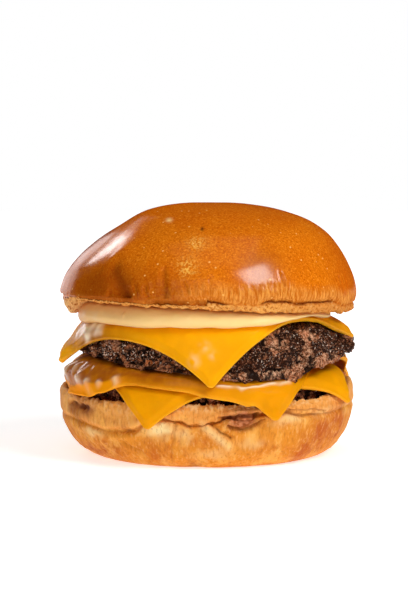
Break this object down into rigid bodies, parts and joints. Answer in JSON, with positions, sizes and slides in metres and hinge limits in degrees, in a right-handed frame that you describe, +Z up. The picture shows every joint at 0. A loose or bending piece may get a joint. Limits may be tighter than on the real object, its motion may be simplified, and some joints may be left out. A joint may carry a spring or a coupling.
{
  "type": "double cheeseburger",
  "caption": "Cheeseburger in a soft round bun with seared beef patties, draped square cheese slices and a layer of pale sauce, resting on its flat underside.",
  "frame": {"origin": "centre of the bun's flat underside", "axes": "+Z up out of the underside; -Y towards the front, where a corner of the upper cheese slice hangs over the patty; +X to the right seen from the front"},
  "size_m": [0.107, 0.1082, 0.0897],
  "materials": {
    "top_crust": "glazed orange-brown bun crust",
    "bottom_crust": "matte golden-tan bun crust",
    "beef": "seared ground beef, char with greasy specks",
    "cheese": "smooth orange-yellow processed cheese",
    "sauce": "smooth pale cream sauce"
  },
  "bodies": {
    "root": {"bottom_bun": "bottom_crust", "lower_patty": "beef", "lower_cheese_under": "cheese", "lower_cheese_over": "cheese", "upper_patty": "beef", "upper_cheese": "cheese", "sauce": "sauce", "top_bun": "top_crust"}
  },
  "joints": []
}
